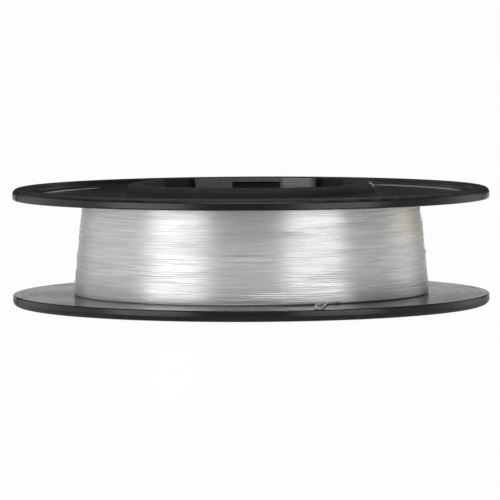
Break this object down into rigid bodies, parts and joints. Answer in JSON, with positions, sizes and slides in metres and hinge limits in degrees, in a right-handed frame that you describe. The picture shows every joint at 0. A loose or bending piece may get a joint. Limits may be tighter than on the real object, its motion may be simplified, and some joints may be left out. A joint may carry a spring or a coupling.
{
  "type": "fishing line spool",
  "caption": "Filler spool of clear fishing line: thin black flanges snapped onto a hub drum, with the line wound between them.",
  "frame": {"origin": "centre of the lower collar's face, on the plane that the spool stands on", "axes": "+Z along the spool's axis, from the lower flange to the upper one; the line's loose end lies towards -Y"},
  "size_m": [0.07, 0.07, 0.0184],
  "materials": {
    "flange_plastic": "black moulded polystyrene, semi-gloss",
    "hub_plastic": "black moulded polystyrene, semi-gloss",
    "clear_line": "clear nylon monofilament, pale grey in the winding"
  },
  "bodies": {
    "root": {"upper_flange": "flange_plastic", "lower_flange": "flange_plastic", "hub_drum": "hub_plastic", "line_core": "clear_line", "line_outer_turns": "clear_line", "line_tag_end": "clear_line"}
  },
  "joints": []
}
